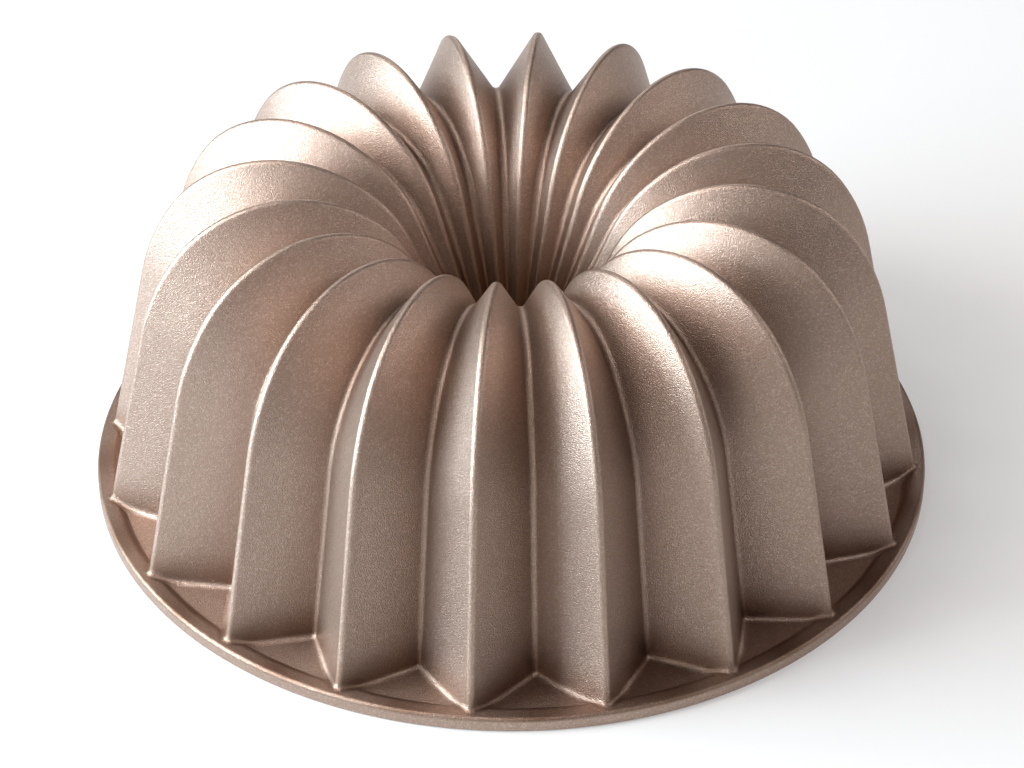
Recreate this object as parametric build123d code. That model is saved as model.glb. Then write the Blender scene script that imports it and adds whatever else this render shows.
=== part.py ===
from build123d import *
import math
import os

# Fluted ring cake pan, standing mouth down on its rim.
# Origin: centre of the rim plane. +Z runs up the axis towards the crown.
# Millimetres and degrees.

PLEATS = 20
HALF_PITCH = 180.0 / PLEATS

# Meridian of a ridge crest and of a valley bottom on the outer face, from the rim plane up the
# wall, over the crown and down into the tube. Each bend is (radius, direction at its end), with
# directions counted from +R towards +Z: 90 is straight up, 180 is the top of the crown. The two
# lists end their bends across from each other, square to the crest.
CREST = {"rim_radius": 128.65, "draft": 11.8, "wall": 66.3,
         "bends": ((69.0, 123.8), (41.2, 150.5), (41.2, 193.9), (44.0, 221.0), (44.0, 246.9))}
VALLEY = {"rim_radius": 109.4, "draft": 11.0, "wall": 59.4,
          "bends": ((44.35, 129.8), (44.35, 145.1), (33.35, 174.0), (33.35, 206.0), (29.45, 242.6))}

BORE_RADIUS = 9.5
COLLAR_WALL = 2.3
COLLAR_TOP = 14.0
COLLAR_END = 3.0

# Depths below the outer face, measured in the meridian plane. The flanks of a pleat lie at about
# 40 degrees to that plane, so a layer's true thickness is about two thirds of its depth.
COAT_DEPTH = 0.5
CAST_DEPTH = 4.4
LINING_DEPTH = 0.5
FACE_OF_COAT = 0.0
FACE_OF_CASTING = COAT_DEPTH
BACK_OF_CASTING = COAT_DEPTH + CAST_DEPTH
BACK_OF_LINING = BACK_OF_CASTING + LINING_DEPTH

RIM_RADIUS = 131.0
BAND_TOP = 4.6
BAND_INNER_RADIUS = 126.8
PANEL_TOP = 2.7
PANEL_OUTER_RADIUS = 124.0
PANEL_INNER_RADIUS = 100.0
EDGE_BREAK = 0.6
FLANGE_COAT = 0.3
COAT_START = 0.3  # both coats stop this far above the rim plane, so the casting itself stands on it
PLUG_APEX = 60.0

# Segments of a meridian, in order: wall, the bends over the crown, tube run, closing bend, collar.
WALL_SEGMENT = 0
TUBE_START = 1 + len(CREST["bends"])
COLLAR_SEGMENT = TUBE_START + 2


def heading(angle):
    """Unit vector in the meridian plane."""
    return math.cos(math.radians(angle)), math.sin(math.radians(angle))


def step_on(point, angle, length):
    """Point reached by a straight run."""
    dr, dz = heading(angle)
    return point[0] + length * dr, point[1] + length * dz


def turn_on(point, angle, radius, new_angle):
    """Point reached by a left-hand bend."""
    centre = step_on(point, angle + 90, radius)
    return step_on(centre, new_angle - 90, radius)


def tube_run(point, angle):
    """Run and bend radius that take the meridian to the top of the collar, heading straight down."""
    lean = 270 - angle
    side = (math.sin(math.radians(lean)), 1 - math.cos(math.radians(lean)))
    drop = (math.cos(math.radians(lean)), math.sin(math.radians(lean)))
    inward = point[0] - BORE_RADIUS
    down = point[1] - COLLAR_TOP
    scale = side[0] * drop[1] - side[1] * drop[0]
    run = (inward * drop[1] - side[1] * down) / scale
    radius = (side[0] * down - inward * drop[0]) / scale
    return run, radius


def meridian_knots(line):
    """(point, direction, radius of the segment that ends here) for each knot of a meridian."""
    angle = 90 + line["draft"]
    point = (line["rim_radius"], 0.0)
    knots = [(point, angle, None)]
    point = step_on(point, angle, line["wall"])
    knots.append((point, angle, None))
    for radius, new_angle in line["bends"]:
        point = turn_on(point, angle, radius, new_angle)
        angle = new_angle
        knots.append((point, angle, radius))
    run, radius = tube_run(point, angle)
    point = step_on(point, angle, run)
    knots.append((point, angle, None))
    point = turn_on(point, angle, radius, 270)
    knots.append((point, 270, radius))
    knots.append(((point[0], COLLAR_END), 270, None))
    return knots


def sunk_knots(line, depth):
    """Knots of the same meridian, a depth below the outer face."""
    sunk = []
    for point, angle, radius in meridian_knots(line):
        new_radius = None if radius is None else radius - depth
        sunk.append((step_on(point, angle + 90, depth), angle, new_radius))
    point, angle, radius = sunk[0]
    foot = step_on(point, angle, -point[1] / heading(angle)[1])
    sunk[0] = (foot, angle, radius)
    return sunk


def in_plane(point, turn):
    """Point of a meridian plane turned about the axis."""
    across, along = math.cos(math.radians(turn)), math.sin(math.radians(turn))
    return Vector(point[0] * across, point[0] * along, point[1])


def meridian_edges(line, depth, turn):
    """Edges of a meridian, from the rim plane to the end of the collar."""
    edges = []
    knots = sunk_knots(line, depth)
    for (start, from_angle, _), (end, to_angle, radius) in zip(knots, knots[1:]):
        first, last = in_plane(start, turn), in_plane(end, turn)
        if radius is None:
            edges.append(Edge.make_line(first, last))
            continue
        middle = turn_on(start, from_angle, radius, (from_angle + to_angle) / 2)
        edges.append(Edge.make_three_point_arc(first, in_plane(middle, turn), last))
    return edges


def all_round(faces):
    """Faces of half a pleat, mirrored in its ridge plane and repeated round the axis."""
    pleat = faces + [face.mirror(Plane.XZ) for face in faces]
    return [face.rotate(Axis.Z, 2 * HALF_PITCH * i) for i in range(PLEATS) for face in pleat]


def flanks(depth, first, last):
    """Ruled faces of half a pleat, one for each meridian segment."""
    crest = meridian_edges(CREST, depth, 0)
    valley = meridian_edges(VALLEY, depth, HALF_PITCH)
    return [Face.make_surface_from_curves(crest[i], valley[i]) for i in range(first, last + 1)]


def chord(depth, knot):
    """Straight edge from the ridge plane to the valley plane at one knot."""
    crest = sunk_knots(CREST, depth)[knot][0]
    valley = sunk_knots(VALLEY, depth)[knot][0]
    return Edge.make_line(in_plane(crest, 0), in_plane(valley, HALF_PITCH))


def pleated_layer(outer, inner, first, last):
    """Closed layer between two depths, over a range of meridian segments."""
    half = flanks(outer, first, last) + flanks(inner, first, last)
    for knot in (first, last + 1):
        half.append(Face.make_surface_from_curves(chord(outer, knot), chord(inner, knot)))
    return Solid(Shell(all_round(half)))


def wall_plug(depth):
    """Solid that fills the pleated wall at one depth, to cut the flange's opening."""
    sides = flanks(depth, WALL_SEGMENT, WALL_SEGMENT)
    tips = chord(depth, WALL_SEGMENT + 1)
    lid = Face(Wire.make_polygon([tips @ 0, tips @ 1, Vector(0, 0, PLUG_APEX)]))
    feet = chord(depth, WALL_SEGMENT)
    base = Face(Wire.make_polygon([feet @ 0, feet @ 1, Vector(0, 0, 0)]))
    return Solid(Shell(all_round(sides + [lid, base])))


def flange_outline(inset, foot):
    """Outline of the flange's upper side, from its outer foot to the inner edge of the panels."""
    outer = RIM_RADIUS - inset
    band = BAND_TOP - inset
    return [(outer, foot), (outer, band - EDGE_BREAK), (outer - EDGE_BREAK, band),
            (BAND_INNER_RADIUS - inset / 2, band), (PANEL_OUTER_RADIUS - inset / 2, PANEL_TOP - inset),
            (PANEL_INNER_RADIUS, PANEL_TOP - inset)]


def revolved(outline):
    """Solid of revolution from a closed outline in the meridian plane."""
    points = [Vector(r, 0, z) for r, z in outline]
    return Solid.revolve(Face(Wire.make_polygon(points)), 360, Axis.Z)


def flange_blank():
    """Flange before the pleated opening is cut."""
    return revolved(flange_outline(FLANGE_COAT, 0) + [(PANEL_INNER_RADIUS, 0)])


def make_fluted_shell():
    """Outer wall and crown of the casting."""
    return pleated_layer(FACE_OF_CASTING, BACK_OF_CASTING, WALL_SEGMENT, TUBE_START - 1)


def make_centre_tube():
    """Pleated tube and the round collar at its open end."""
    tube = pleated_layer(FACE_OF_CASTING, BACK_OF_CASTING, TUBE_START, COLLAR_SEGMENT)
    outer = BORE_RADIUS + COLLAR_WALL
    collar = revolved([(BORE_RADIUS, COLLAR_END), (outer, COLLAR_END),
                       (outer, COLLAR_TOP), (BORE_RADIUS, COLLAR_TOP)])
    return tube + collar


def make_rim_flange():
    """Flat rim with its raised band and recessed panels."""
    return flange_blank() - wall_plug(FACE_OF_CASTING)


def make_outer_coat():
    """Coat on the pleats, the tube and the flange."""
    body = pleated_layer(FACE_OF_COAT, FACE_OF_CASTING, WALL_SEGMENT, COLLAR_SEGMENT - 1)
    skin = revolved(flange_outline(0, COAT_START) + flange_outline(FLANGE_COAT, COAT_START)[::-1])
    return (body - flange_blank()) + (skin - wall_plug(FACE_OF_COAT))


def make_nonstick_lining():
    """Release coat over the whole baking side."""
    layer = pleated_layer(BACK_OF_CASTING, BACK_OF_LINING, WALL_SEGMENT, COLLAR_SEGMENT)
    return layer - Pos(0, 0, COAT_START / 2) * Cylinder(RIM_RADIUS, COAT_START)


NODES = {
    "fluted_shell": make_fluted_shell,
    "centre_tube": make_centre_tube,
    "rim_flange": make_rim_flange,
    "outer_coat": make_outer_coat,
    "nonstick_lining": make_nonstick_lining,
}

os.makedirs("parts", exist_ok=True)
for name, make in NODES.items():
    export_step(make(), f"parts/{name}.step")
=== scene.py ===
import math

import bpy
import numpy as np
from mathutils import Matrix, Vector


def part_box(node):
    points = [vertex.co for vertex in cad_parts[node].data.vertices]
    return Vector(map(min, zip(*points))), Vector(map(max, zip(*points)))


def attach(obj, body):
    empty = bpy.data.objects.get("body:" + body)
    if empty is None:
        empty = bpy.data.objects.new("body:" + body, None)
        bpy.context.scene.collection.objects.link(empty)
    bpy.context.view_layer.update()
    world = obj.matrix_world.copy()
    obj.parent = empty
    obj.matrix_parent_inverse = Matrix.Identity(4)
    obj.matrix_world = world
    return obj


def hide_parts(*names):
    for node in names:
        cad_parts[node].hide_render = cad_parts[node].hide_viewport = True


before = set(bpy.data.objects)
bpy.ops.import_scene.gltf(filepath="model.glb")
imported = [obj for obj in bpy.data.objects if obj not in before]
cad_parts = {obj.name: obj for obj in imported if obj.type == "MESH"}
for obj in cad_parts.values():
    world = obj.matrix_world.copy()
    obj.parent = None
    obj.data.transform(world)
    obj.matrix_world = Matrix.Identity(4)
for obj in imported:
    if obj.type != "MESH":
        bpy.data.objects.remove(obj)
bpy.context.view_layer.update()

# Fluted ring cake pan, mouth down. Lengths in the shape code are millimetres, made metres in ring_mesh.
MM = 0.001
PLEATS = 20
HALF_PITCH = math.pi / PLEATS

# Meridians of the outer face, as the CAD has them: (bend radius, direction at its end).
CREST = {"rim_radius": 128.65, "draft": 11.8, "wall": 66.3,
         "bends": ((69.0, 123.8), (41.2, 150.5), (41.2, 193.9), (44.0, 221.0), (44.0, 246.9))}
VALLEY = {"rim_radius": 109.4, "draft": 11.0, "wall": 59.4,
          "bends": ((44.35, 129.8), (44.35, 145.1), (33.35, 174.0), (33.35, 206.0), (29.45, 242.6))}
BORE_RADIUS = 9.5
COLLAR_TOP = 14.0
COLLAR_END = 3.0
COAT_BACK = 0.5
LINING_BACK = 4.9
LINING_FACE = 5.4

RIM_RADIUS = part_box("outer_coat")[1][0] / MM
BAND_TOP = 4.6
BAND_INNER_RADIUS = 125.8
BAND_ROUNDING = 1.2
PANEL_TOP = 2.7
PANEL_OUTER_RADIUS = 124.1
STEP_ROUNDING = 0.35
RIM_EDGE = 0.6
RIM_TOP_EDGE = 1.1
FLANGE_COAT = 0.3
RIM_FACE = -0.05  # the real coat's thickness, under the casting's rim face
FLOOR_GAP = 0.1

RIDGE_ROUNDING = 1.5
VALLEY_FILLET = 1.6
FOOT_FILLET = 1.8
FOOT_REACH = 129.0  # outermost radius of the rounding at the foot of a ridge
MOUTH_ROUNDING = 0.5
LINING_RIDGE_ROUNDING = 1.6
LINING_VALLEY_FILLET = 1.3
RIDGE_SHARE = 0.3  # largest roundings, as shares of the flank's width
VALLEY_SHARE = 0.25

# Mesh rows and columns of half a pleat. Columns run from the ridge to the valley: the ridge's
# rounding, the flank at these shares of its width, and the valley's rounding.
RIDGE_COLUMNS = 4
VALLEY_COLUMNS = 3
FLANK_SHARES = (0.03, 0.12, 0.25, 0.38, 0.51, 0.64, 0.77, 0.89, 0.97)

# Rows run up the wall at these shares of its height, and inward over the flange: first at fixed
# radii, close together over the band's inner edge and the step, then at shares of the way to the
# wall's foot.
WALL_SHARES = (0.01, 0.06, 0.16, 0.3, 0.45, 0.6, 0.75, 0.88)
FILLET_ROWS = 5
FLANGE_RADII = (129.4, 128.6, 127.8, 127.2, 126.7, 126.2, 125.8, 125.4, 125.0, 124.7, 124.45, 124.25,
                124.05, 123.85, 123.6)
FLANGE_SHARES = (0.15, 0.33, 0.52, 0.7, 0.86, 0.96)
MOUTH_SHARES = (0.3, 0.6, 0.9)
ROW_GAP = 0.03  # least distance between rows that close up in front of a ridge's foot
LANDING_STEPS = 8
RIM_TURN = 15  # degrees between the rows round an edge of the rim

# Intervals along each segment: wall, five bends, tube run, closing bend, collar.
FINE_STEPS = (1, 8, 7, 11, 9, 9, 9, 10, 0)
PLAIN_STEPS = (1, 3, 3, 4, 4, 4, 2, 4, 0)
LINING_STEPS = (1, 6, 5, 8, 6, 6, 6, 8, 2)
LINING_BACK_STEPS = (1, 4, 4, 5, 4, 4, 3, 5, 2)

# Champagne coat. Scales are per metre, the bump's depth is in metres.
COAT_ROUGHNESS = 0.44
FLAKE_SCALE = 2900.0
FLAKE_TONES = ((0.0, (0.355, 0.262, 0.214)), (0.75, (0.416, 0.309, 0.254)), (1.0, (0.53, 0.41, 0.345)))
GRAIN_SCALE = 3300.0
GRAIN_DETAIL = 0.3
GRAIN_STRENGTH = 0.8
GRAIN_DEPTH = 0.0002

# Painted shade: the coat's colour goes towards this brown, by so much at most in the groove
# bottoms, at the walls' feet and down the tube. Each run is (where it starts, where it is full).
SHADE_BROWN = (0.16, 0.085, 0.05, 1)
GROOVE_SHADE = 0.28
GROOVE_RUN = (0.35, 1.0)  # shares of the way from a ridge to a valley
FOOT_SHADE = 0.45
FOOT_RUN = (16 * MM, 4 * MM)  # heights
TUBE_SHADE = 0.9
TUBE_RUN = (33 * MM, 16 * MM)  # radii
WALL_RUN = (2.9 * MM, 4.2 * MM)  # heights over which the painted shade of the grooves and feet fades in, from none on the flange to full on the wall

# Colour sockets of Blender's Mix node, which share their names with its other sockets.
MIX_FACTOR = 0
MIX_FIRST = 6
MIX_SECOND = 7
MIX_RESULT = 2

# Stage. Lengths in metres, angles in degrees; azimuth 0 is on the -Y side and 90 on +X.
FLOOR_HALF_WIDTH = 6.0
FLOOR_GREY = (0.5, 0.5, 0.5, 1)
FLOOR_GLOW = 0.3
WORLD_GLOW = 0.01
LIGHT_DISTANCE = 1.6
LIGHT_AIM = Vector((0, 0, 0.05))
# Name, azimuth, elevation, width and height, watts, colour.
LIGHTS = (
    ("key_left", -78, 20, (1.15, 0.4), 31.5, (0.72, 0.9, 1.0)),
    ("low_left", -71, 8, (0.95, 0.36), 20, (0.7, 0.88, 1.0)),
    ("upper_left", -82, 33, (0.95, 0.5), 15, (1.0, 0.98, 0.97)),
    ("high_left", -72, 48, (0.6, 0.4), 8, (1.0, 0.9, 0.86)),
    ("top_left", -92, 65, (0.9, 0.45), 9, (1.0, 0.98, 0.97)),
    ("right", 105, 27, (1.0, 0.6), 6.4, (1.0, 0.95, 0.93)),
    ("right_front", 40, 45, (0.6, 0.5), 4.0, (1.0, 0.92, 0.89)),
    ("front", -25, 20, (0.6, 0.5), 4.2, (1.0, 0.95, 0.92)),
    ("back", -170, 26, (1.0, 0.5), 5.6, (1.0, 0.98, 0.97)),
)
CAMERA_LENS = 127.2
CAMERA_SENSOR = 36.0
CAMERA_SHIFT = (0.0006, -0.0301)
CAMERA_AZIMUTH = 5.38
CAMERA_ELEVATION = 36.18
CAMERA_DISTANCE = 1.1295
CAMERA_AIM = Vector((0, 0, 0.04))


def heading(angle):
    """Unit vectors (r, z) of directions in degrees."""
    turn = np.radians(angle)
    return np.stack([np.cos(turn), np.sin(turn)], axis=-1)


def tube_run(point, angle):
    """Run and bend radius that take a meridian to the top of the collar, heading straight down."""
    lean = math.radians(270 - angle)
    ways = np.array([[math.sin(lean), 1 - math.cos(lean)], [math.cos(lean), math.sin(lean)]])
    return np.linalg.solve(ways, [point[0] - BORE_RADIUS, point[1] - COLLAR_TOP])


def knots(line):
    """(point, direction, bend radius or None) at the ends of a meridian's segments."""
    angle = 90 + line["draft"]
    point = np.array([line["rim_radius"], 0.0])
    found = [(point, angle, None)]
    point = point + line["wall"] * heading(angle)
    found.append((point, angle, None))
    for radius, new_angle in line["bends"]:
        point = point + radius * (heading(angle + 90) - heading(new_angle + 90))
        angle = new_angle
        found.append((point, angle, radius))
    run, radius = tube_run(point, angle)
    point = point + run * heading(angle)
    found.append((point, angle, None))
    point = point + radius * (heading(angle + 90) - heading(360))
    found.append((point, 270, radius))
    found.append((np.array([point[0], COLLAR_END]), 270, None))
    return found


def meridian(line, depth, steps):
    """Points (r, z) of a meridian at a depth below the outer face."""
    ends = knots(line)
    start, angle, _ = ends[0]
    foot = start + depth * heading(angle + 90)
    rows = [(foot - heading(angle) * foot[1] / heading(angle)[1])[None]]
    for (start, from_angle, _), (end, to_angle, radius), count in zip(ends, ends[1:], steps):
        share = np.arange(1, count + 1)[:, None] / max(count, 1)
        if radius is None:
            points = start + (end - start) * share
        else:
            centre = start + radius * heading(from_angle + 90)
            points = centre - radius * heading(from_angle + 90 + (to_angle - from_angle) * share[:, 0])
        normal = heading(from_angle + 90 + (to_angle - from_angle) * share[:, 0])
        rows.append(points + depth * normal)
    return np.concatenate(rows)


def turned(points, angle):
    """Points (x, y, z) turned about the axis, by one angle or one for each point."""
    cos, sin = np.cos(angle), np.sin(angle)
    x, y, z = points[..., 0], points[..., 1], points[..., 2]
    return np.stack([x * cos - y * sin, x * sin + y * cos, z], axis=-1)


def mirrored(points):
    """Points mirrored in the plane y = 0."""
    return points * np.array([1.0, -1.0, 1.0])


def bisector(apex, other):
    """Unit bisector, in the plane y = 0, of the corner at apex, and half the corner's angle."""
    along = (other - apex) * np.array([1.0, 0.0, 1.0])
    length = np.linalg.norm(along, axis=-1, keepdims=True)
    across = np.abs(other - apex)[..., 1:2]
    return along / np.maximum(length, 1e-9), np.arctan2(across, length)


def corner_arc(apex, other, radius, count):
    """Half the rounding of the corner at apex: count + 1 points from the plane y = 0 to the flank."""
    along, half = bisector(apex, other)
    side = np.sign((other - apex)[..., 1:2]) * np.array([0.0, 1.0, 0.0])
    centre = apex + along * radius / np.sin(half)
    turns = [(math.pi / 2 - half) * i / count for i in range(count + 1)]
    return [centre + radius * (side * np.sin(turn) - along * np.cos(turn)) for turn in turns]


def raised(apex, other, radius):
    """Apex moved out, so that its rounding, and not its sharp corner, reaches the stated meridian."""
    along, half = bisector(apex, other)
    return apex - along * (radius / np.sin(half) - radius)


def half_pleat(crest, valley, convex, ridge=RIDGE_ROUNDING, groove=VALLEY_FILLET):
    """Grid [row, column] of half a pleat, from the ridge plane to the valley plane.

    convex names the line, crest or valley, that stands proud on this face.
    """
    apex = np.stack([crest[:, 0], 0 * crest[:, 0], crest[:, 1]], axis=-1)
    low = np.stack([valley[:, 0], 0 * valley[:, 0], valley[:, 1]], axis=-1)
    flank = np.linalg.norm(turned(low, HALF_PITCH) - apex, axis=-1, keepdims=True)
    ridge = np.minimum(ridge, RIDGE_SHARE * flank)
    groove = np.minimum(groove, VALLEY_SHARE * flank)
    if convex == "crest":
        apex = raised(apex, turned(low, HALF_PITCH), ridge)
    else:
        low = raised(low, turned(apex, -HALF_PITCH), groove)
    columns = corner_arc(apex, turned(low, HALF_PITCH), ridge, RIDGE_COLUMNS)
    valley_arc = [turned(p, HALF_PITCH)
                  for p in corner_arc(low, turned(apex, -HALF_PITCH), groove, VALLEY_COLUMNS)]
    start, end = columns[-1], valley_arc[-1]
    columns += [start + (end - start) * share for share in FLANK_SHARES]
    return np.stack(columns + valley_arc[::-1], axis=1)


def ramp(x, rounding):
    """0 below zero and x above it, with a rounded corner."""
    blend = (np.clip(x, -rounding, rounding) + rounding) ** 2 / (4 * rounding)
    return np.where(x > rounding, x, blend)


def flange_height(radius):
    """Height of the flange's upper side: panels, a sloped step, then the outer band."""
    run = BAND_INNER_RADIUS - PANEL_OUTER_RADIUS
    slope = (BAND_TOP - PANEL_TOP) / run
    rise = ramp(radius - PANEL_OUTER_RADIUS, STEP_ROUNDING) - ramp(radius - BAND_INNER_RADIUS, BAND_ROUNDING)
    return PANEL_TOP + slope * rise


def radius_of(points):
    return np.hypot(points[..., 0], points[..., 1])


def at_radius(radius, azimuth, height):
    """Points at a radius and height, on each column's azimuth."""
    radius, height = np.broadcast_arrays(radius, height)
    return np.stack([radius * np.cos(azimuth), radius * np.sin(azimuth), height + 0 * azimuth], axis=-1)


def wall_point(foot, top, share):
    return foot + (top - foot) * share[:, None]


def landing(foot, top, height_at):
    """Share of each wall column, counted from z = 0, at which it meets the flange."""
    share = np.zeros(len(foot))
    for _ in range(LANDING_STEPS):
        share = height_at(radius_of(wall_point(foot, top, share))) / top[:, 2]
    return share


def slant(line):
    """How much longer a column's way along the flange is than the way square to the foot line."""
    before = np.concatenate([mirrored(line[1:2]), line[:-1]])
    past = turned(mirrored(turned(line[-2:-1], -HALF_PITCH)), HALF_PITCH)
    after = np.concatenate([line[1:], past])
    tangent = (after - before)[:, :2]
    tangent /= np.linalg.norm(tangent, axis=1, keepdims=True)
    radial = line[:, :2] / radius_of(line)[:, None]
    return 1 / np.abs(tangent[:, 0] * radial[:, 1] - tangent[:, 1] * radial[:, 0])


def bend(start, corner, end, count):
    """Rows of a smooth bend from start to end, without the first, towards a corner it rounds off."""
    rows = []
    for i in range(1, count + 1):
        t = i / count
        rows.append((1 - t) ** 2 * start + 2 * t * (1 - t) * corner + t ** 2 * end)
    return rows


def base_rows(foot, top, height_at, fillet, radii, spread):
    """Rows from the flange's edge inward, round the foot of the wall, and up to its top.

    radii are fixed rows of the flange; spread are shares of the way from the last of them to the
    foot. Where the wall stands in their way they close up in front of it.
    """
    share = landing(foot, top, height_at)
    corner = wall_point(foot, top, share)
    azimuth = np.arctan2(corner[:, 1], corner[:, 0])
    near = np.minimum(radius_of(corner) + fillet * slant(corner), FOOT_REACH)
    wanted = [radius + 0 * near for radius in radii] + [radii[-1] + (near - radii[-1]) * s for s in spread]
    rows = []
    for i, radius in enumerate(wanted):
        radius = np.maximum(radius, near + ROW_GAP * (len(wanted) - i))
        rows.append(at_radius(radius, azimuth, height_at(radius)))
    start = at_radius(near, azimuth, height_at(near))
    up = share + fillet / top[:, 2]
    rows += [start] + bend(start, corner, wall_point(foot, top, up), FILLET_ROWS)
    rows += [wall_point(foot, top, up + (1 - up) * s) for s in WALL_SHARES]
    return rows, azimuth


def coat_face():
    """Rows of the coat's visible face, from the rim's lower edge to the end of the tube."""
    crest, valley = meridian(CREST, 0, FINE_STEPS), meridian(VALLEY, 0, FINE_STEPS)
    grid = half_pleat(crest, valley, "crest")
    rows, azimuth = base_rows(grid[0], grid[1], flange_height, FOOT_FILLET, FLANGE_RADII, FLANGE_SHARES)
    return rim_edge(azimuth) + rows + list(grid[1:])


def rim_edge(azimuth):
    """Rows round the flange's outer edge, from underneath to the top of the band."""
    rows = [at_radius(RIM_RADIUS - 2 * RIM_EDGE, azimuth, RIM_FACE)]
    lower = (RIM_EDGE, RIM_FACE + RIM_EDGE, -90)
    upper = (RIM_TOP_EDGE, BAND_TOP - RIM_TOP_EDGE, 0)
    for edge, centre_z, first in (lower, upper):
        for turn in range(first, first + 91, RIM_TURN):
            out, up = heading(turn) * edge
            rows.append(at_radius(RIM_RADIUS - edge + out, azimuth, centre_z + up))
    return rows


def coat_back():
    """Rows of the coat's hidden face, from the end of the tube back to the rim."""
    crest, valley = meridian(CREST, COAT_BACK, PLAIN_STEPS), meridian(VALLEY, COAT_BACK, PLAIN_STEPS)
    grid = half_pleat(crest, valley, "crest")

    def height_at(radius):
        return flange_height(radius) - FLANGE_COAT

    share = landing(grid[0], grid[1], height_at)
    corner = wall_point(grid[0], grid[1], share)
    azimuth = np.arctan2(corner[:, 1], corner[:, 0])
    rows = list(grid[:0:-1]) + [wall_point(grid[0], grid[1], (share + 1) / 2), corner]
    near = radius_of(corner)
    for i, radius in enumerate((PANEL_OUTER_RADIUS, BAND_INNER_RADIUS, RIM_RADIUS - 2 * RIM_EDGE)):
        radius = np.maximum(radius, near + 4 * ROW_GAP * (i + 1))
        rows.append(at_radius(radius, azimuth, height_at(radius)))
    rows.append(at_radius(RIM_RADIUS - FLANGE_COAT, azimuth, BAND_TOP - 2 * RIM_EDGE))
    rows.append(at_radius(RIM_RADIUS - FLANGE_COAT, azimuth, RIM_FACE + RIM_EDGE))
    return rows


def lining_face():
    """Rows of the lining's visible face, from the rim's edge, round the mouth, to the tube's end."""
    crest = meridian(CREST, LINING_FACE, LINING_STEPS)
    valley = meridian(VALLEY, LINING_FACE, LINING_STEPS)
    grid = half_pleat(crest, valley, "valley", LINING_RIDGE_ROUNDING, LINING_VALLEY_FILLET)

    def height_at(radius):
        return RIM_FACE + 0 * radius

    edge = (RIM_RADIUS - 2 * RIM_EDGE,)
    rows, _ = base_rows(grid[0], grid[1], height_at, MOUTH_ROUNDING, edge, MOUTH_SHARES)
    return rows + list(grid[1:])


def lining_back():
    """Rows of the lining's hidden face, from the tube's end back to the rim's edge."""
    crest = meridian(CREST, LINING_BACK, LINING_BACK_STEPS)
    valley = meridian(VALLEY, LINING_BACK, LINING_BACK_STEPS)
    grid = half_pleat(crest, valley, "valley", LINING_RIDGE_ROUNDING, LINING_VALLEY_FILLET)
    foot = grid[0] + np.array([0, 0, RIM_FACE / 2])
    azimuth = np.arctan2(foot[:, 1], foot[:, 0])
    edge = at_radius(RIM_RADIUS - 2 * RIM_EDGE + 0 * azimuth, azimuth, RIM_FACE / 2)
    return list(grid[:0:-1]) + [(grid[1] + foot) / 2, foot, edge]


def all_round(rows):
    """Rows of half a pleat made into closed rings: mirrored, then repeated round the axis."""
    half = np.stack(rows)
    other = turned(mirrored(half[:, :0:-1]), 2 * HALF_PITCH)
    pleat = np.concatenate([half[:, :-1], other], axis=1)
    return np.concatenate([turned(pleat, 2 * HALF_PITCH * i) for i in range(PLEATS)], axis=1)


def ring_mesh(name, rows):
    """Closed mesh of rings, each joined to the next and the last to the first."""
    rings = all_round(rows)
    count, around, _ = rings.shape
    index = np.arange(count * around).reshape(count, around)
    across, on = np.roll(index, -1, axis=1), np.roll(index, -1, axis=0)
    corners = np.stack([index, across, np.roll(on, -1, axis=1), on], axis=-1).reshape(-1, 4)
    mesh = bpy.data.meshes.new(name)
    mesh.from_pydata((rings.reshape(-1, 3) * MM).tolist(), [], corners.tolist())
    mesh.polygons.foreach_set("use_smooth", [True] * len(mesh.polygons))
    mesh.update()
    piece = bpy.data.objects.new(name, mesh)
    bpy.context.scene.collection.objects.link(piece)
    weighted = piece.modifiers.new("face_weighted_normals", "WEIGHTED_NORMAL")
    weighted.weight = 100
    weighted.keep_sharp = True
    return piece


def new_material(name, roughness, metallic):
    material = bpy.data.materials.new(name)
    material.use_nodes = True
    shader = material.node_tree.nodes["Principled BSDF"]
    shader.inputs["Metallic"].default_value = metallic
    shader.inputs["Roughness"].default_value = roughness
    return material, material.node_tree, shader


def add(tree, kind, **settings):
    node = tree.nodes.new(kind)
    for key, value in settings.items():
        if key in node.inputs:
            node.inputs[key].default_value = value
        else:
            setattr(node, key, value)
    return node


def noise(tree, place, scale, detail):
    """Noise in the pan's own coordinates."""
    node = add(tree, "ShaderNodeTexNoise", Scale=scale, Detail=detail)
    tree.links.new(place.outputs["Object"], node.inputs["Vector"])
    return node.outputs["Fac"]


def colour_ramp(tree, factor, stops):
    node = tree.nodes.new("ShaderNodeValToRGB")
    elements = node.color_ramp.elements
    while len(elements) < len(stops):
        elements.new(0.5)
    for element, (position, colour) in zip(elements, stops):
        element.position = position
        element.color = (*colour, 1)
    tree.links.new(factor, node.inputs["Fac"])
    return node.outputs["Color"]


def bump(tree, height, strength, distance):
    node = add(tree, "ShaderNodeBump", Strength=strength, Distance=distance)
    tree.links.new(height, node.inputs["Height"])
    return node.outputs["Normal"]


def math_node(tree, operation, *values):
    """Result of one operation on sockets or plain numbers."""
    node = add(tree, "ShaderNodeMath", operation=operation)
    for socket, value in zip(node.inputs, values):
        if isinstance(value, (int, float)):
            socket.default_value = value
        else:
            tree.links.new(value, socket)
    return node.outputs[0]


def fade_in(tree, value, run, top):
    """0 where the value is at the run's start, top at its end, and smooth in between."""
    node = add(tree, "ShaderNodeMapRange", interpolation_type="SMOOTHSTEP")
    tree.links.new(value, node.inputs["Value"])
    for name, number in (("From Min", run[0]), ("From Max", run[1]), ("To Min", 0.0), ("To Max", top)):
        node.inputs[name].default_value = number
    return node.outputs["Result"]


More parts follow.
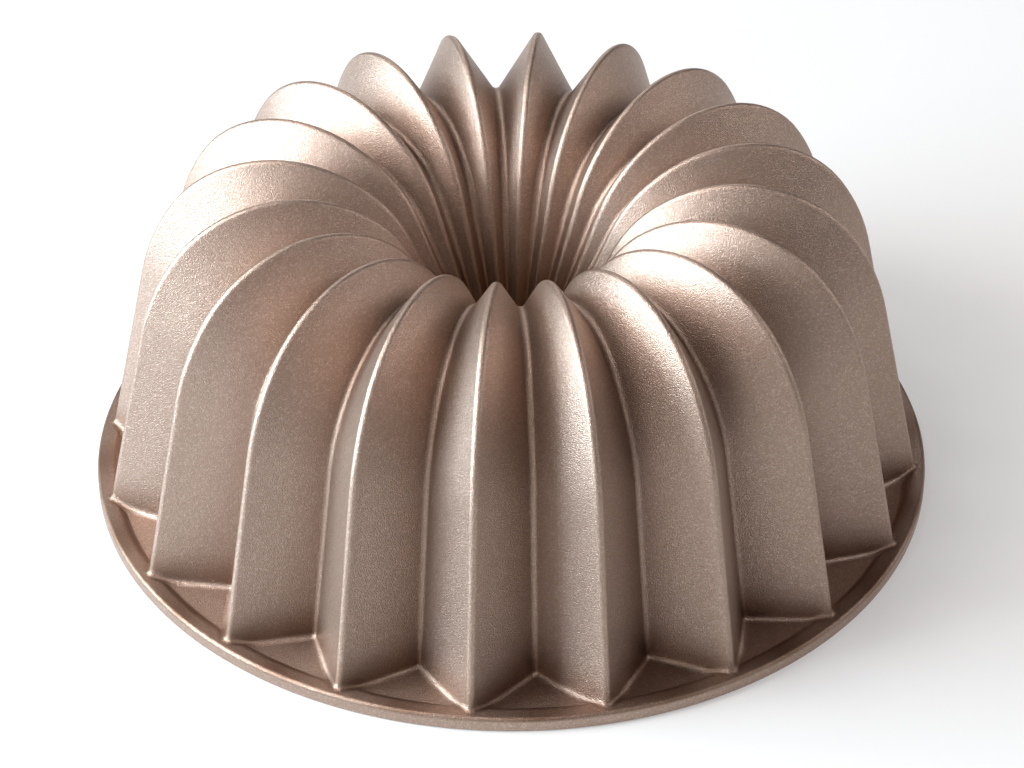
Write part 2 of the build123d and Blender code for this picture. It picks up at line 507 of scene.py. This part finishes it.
def painted_shade(tree, place):
    """How much painted shade a spot gets: in the groove bottoms, at the walls' feet and down the tube."""
    axes = add(tree, "ShaderNodeSeparateXYZ")
    tree.links.new(place.outputs["Object"], axes.inputs[0])
    x, y, z = axes.outputs
    azimuth = math_node(tree, "ARCTAN2", y, x)
    from_ridge = math_node(tree, "PINGPONG", math_node(tree, "DIVIDE", azimuth, HALF_PITCH), 1.0)
    x_squared = math_node(tree, "MULTIPLY", x, x)
    y_squared = math_node(tree, "MULTIPLY", y, y)
    radius = math_node(tree, "SQRT", math_node(tree, "ADD", x_squared, y_squared))
    groove = fade_in(tree, from_ridge, GROOVE_RUN, GROOVE_SHADE)
    foot = fade_in(tree, z, FOOT_RUN, FOOT_SHADE)
    on_wall = fade_in(tree, z, WALL_RUN, 1.0)
    wall = math_node(tree, "MULTIPLY", math_node(tree, "ADD", groove, foot), on_wall)
    tube = fade_in(tree, radius, TUBE_RUN, TUBE_SHADE)
    return math_node(tree, "MINIMUM", math_node(tree, "ADD", wall, tube), 1.0)


def champagne_coat():
    """Semi-matte metallic paint: fine flakes that sparkle, with painted shade that browns it in the groove
    bottoms, at the walls' feet and down the tube.
    """
    material, tree, shader = new_material("champagne_metallic", COAT_ROUGHNESS, metallic=1.0)
    place = tree.nodes.new("ShaderNodeTexCoord")
    flakes = add(tree, "ShaderNodeTexVoronoi", Scale=FLAKE_SCALE)
    tree.links.new(place.outputs["Object"], flakes.inputs["Vector"])
    tone = add(tree, "ShaderNodeSeparateColor")
    tree.links.new(flakes.outputs["Color"], tone.inputs["Color"])
    base = colour_ramp(tree, tone.outputs["Red"], FLAKE_TONES)
    # painted shade: the flakes' colour is mixed towards a dark brown in the grooves, at the walls' feet and
    # down the tube
    shade_mix = add(tree, "ShaderNodeMix", data_type="RGBA")
    tree.links.new(painted_shade(tree, place), shade_mix.inputs[MIX_FACTOR])
    tree.links.new(base, shade_mix.inputs[MIX_FIRST])
    shade_mix.inputs[MIX_SECOND].default_value = SHADE_BROWN
    tree.links.new(shade_mix.outputs[MIX_RESULT], shader.inputs["Base Color"])
    grain = noise(tree, place, GRAIN_SCALE, GRAIN_DETAIL)
    tree.links.new(bump(tree, grain, GRAIN_STRENGTH, GRAIN_DEPTH), shader.inputs["Normal"])
    return material


def release_coat():
    """Smooth satin nonstick coat, with the faint texture of the casting under it."""
    material, tree, shader = new_material("release_coat", roughness=0.38, metallic=0.85)
    place = tree.nodes.new("ShaderNodeTexCoord")
    base = colour_ramp(tree, noise(tree, place, scale=900.0, detail=3.0),
                       ((0.3, (0.20, 0.155, 0.13)), (0.7, (0.27, 0.215, 0.185))))
    tree.links.new(base, shader.inputs["Base Color"])
    texture = noise(tree, place, scale=500.0, detail=3.0)
    tree.links.new(bump(tree, texture, strength=0.2, distance=0.0003), shader.inputs["Normal"])
    return material


def cast_aluminium():
    """Bare casting, drilled and faced: light metal with a fine sand grain."""
    material, tree, shader = new_material("cast_aluminium", roughness=0.36, metallic=1.0)
    place = tree.nodes.new("ShaderNodeTexCoord")
    base = colour_ramp(tree, noise(tree, place, scale=700.0, detail=4.0),
                       ((0.3, (0.62, 0.61, 0.60)), (0.7, (0.78, 0.77, 0.76))))
    tree.links.new(base, shader.inputs["Base Color"])
    sand = noise(tree, place, scale=1500.0, detail=3.0)
    tree.links.new(bump(tree, sand, strength=0.25, distance=0.0002), shader.inputs["Normal"])
    return material


def make_pieces():
    """The two coats as fine meshes, in place of their CAD nodes, and a finish for the casting."""
    outer = coat_face() + coat_back()
    lining = (lining_face() + lining_back())[::-1]  # reversed, since its visible face looks inward
    for name, node, rows, material, slot in (
            ("outer_coat_skin", "outer_coat", outer, champagne_coat(), "metallic_coat"),
            ("nonstick_skin", "nonstick_lining", lining, release_coat(), "release_coat")):
        piece = ring_mesh(name, rows)
        piece.data.materials.append(material)
        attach(piece, "root")
        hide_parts(node)
    bare = cast_aluminium()
    for node in ("fluted_shell", "centre_tube", "rim_flange"):
        for slot_in_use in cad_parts[node].material_slots:
            slot_in_use.material = bare


def white_floor():
    """Pale floor, far wider than any view."""
    mesh = bpy.data.meshes.new("floor")
    half = FLOOR_HALF_WIDTH
    low = (RIM_FACE - FLOOR_GAP) * MM
    mesh.from_pydata([(-half, -half, low), (half, -half, low), (half, half, low), (-half, half, low)], [],
                     [(0, 1, 2, 3)])
    floor = bpy.data.objects.new("floor", mesh)
    bpy.context.scene.collection.objects.link(floor)
    material, _, shader = new_material("floor_white", roughness=0.9, metallic=0.0)
    shader.inputs["Base Color"].default_value = FLOOR_GREY
    shader.inputs["Emission Color"].default_value = (1, 1, 1, 1)
    shader.inputs["Emission Strength"].default_value = FLOOR_GLOW
    mesh.materials.append(material)


def direction(azimuth, elevation):
    """Unit vector from the pan towards a light or the camera."""
    a, e = math.radians(azimuth), math.radians(elevation)
    return Vector((math.sin(a) * math.cos(e), -math.cos(a) * math.cos(e), math.sin(e)))


def softbox(name, azimuth, elevation, size, power, colour):
    """Rectangular area light that faces the pan."""
    back = direction(azimuth, elevation)
    data = bpy.data.lights.new(name, "AREA")
    data.shape = "RECTANGLE"
    data.size, data.size_y = size
    data.energy = power
    data.color = colour
    light = bpy.data.objects.new(name, data)
    light.location = LIGHT_AIM + back * LIGHT_DISTANCE
    light.rotation_euler = back.to_track_quat("Z", "Y").to_euler()
    bpy.context.scene.collection.objects.link(light)


def studio():
    """Nearly dark surroundings and soft lights, the strongest of them on the pan's left."""
    world = bpy.data.worlds.new("studio")
    world.use_nodes = True
    background = world.node_tree.nodes["Background"]
    background.inputs["Color"].default_value = (1, 1, 1, 1)
    background.inputs["Strength"].default_value = WORLD_GLOW
    bpy.context.scene.world = world
    for light in LIGHTS:
        softbox(*light)


def camera():
    """The photograph's viewpoint: a long lens, well above the pan."""
    data = bpy.data.cameras.new("camera")
    data.lens = CAMERA_LENS
    data.sensor_width = CAMERA_SENSOR
    data.shift_x, data.shift_y = CAMERA_SHIFT
    view = bpy.data.objects.new("camera", data)
    back = direction(CAMERA_AZIMUTH, CAMERA_ELEVATION)
    view.location = CAMERA_AIM + back * CAMERA_DISTANCE
    view.rotation_euler = back.to_track_quat("Z", "Y").to_euler()
    bpy.context.scene.collection.objects.link(view)
    bpy.context.scene.camera = view


camera()
make_pieces()
white_floor()
studio()
bpy.context.scene.view_settings.view_transform = "Standard"
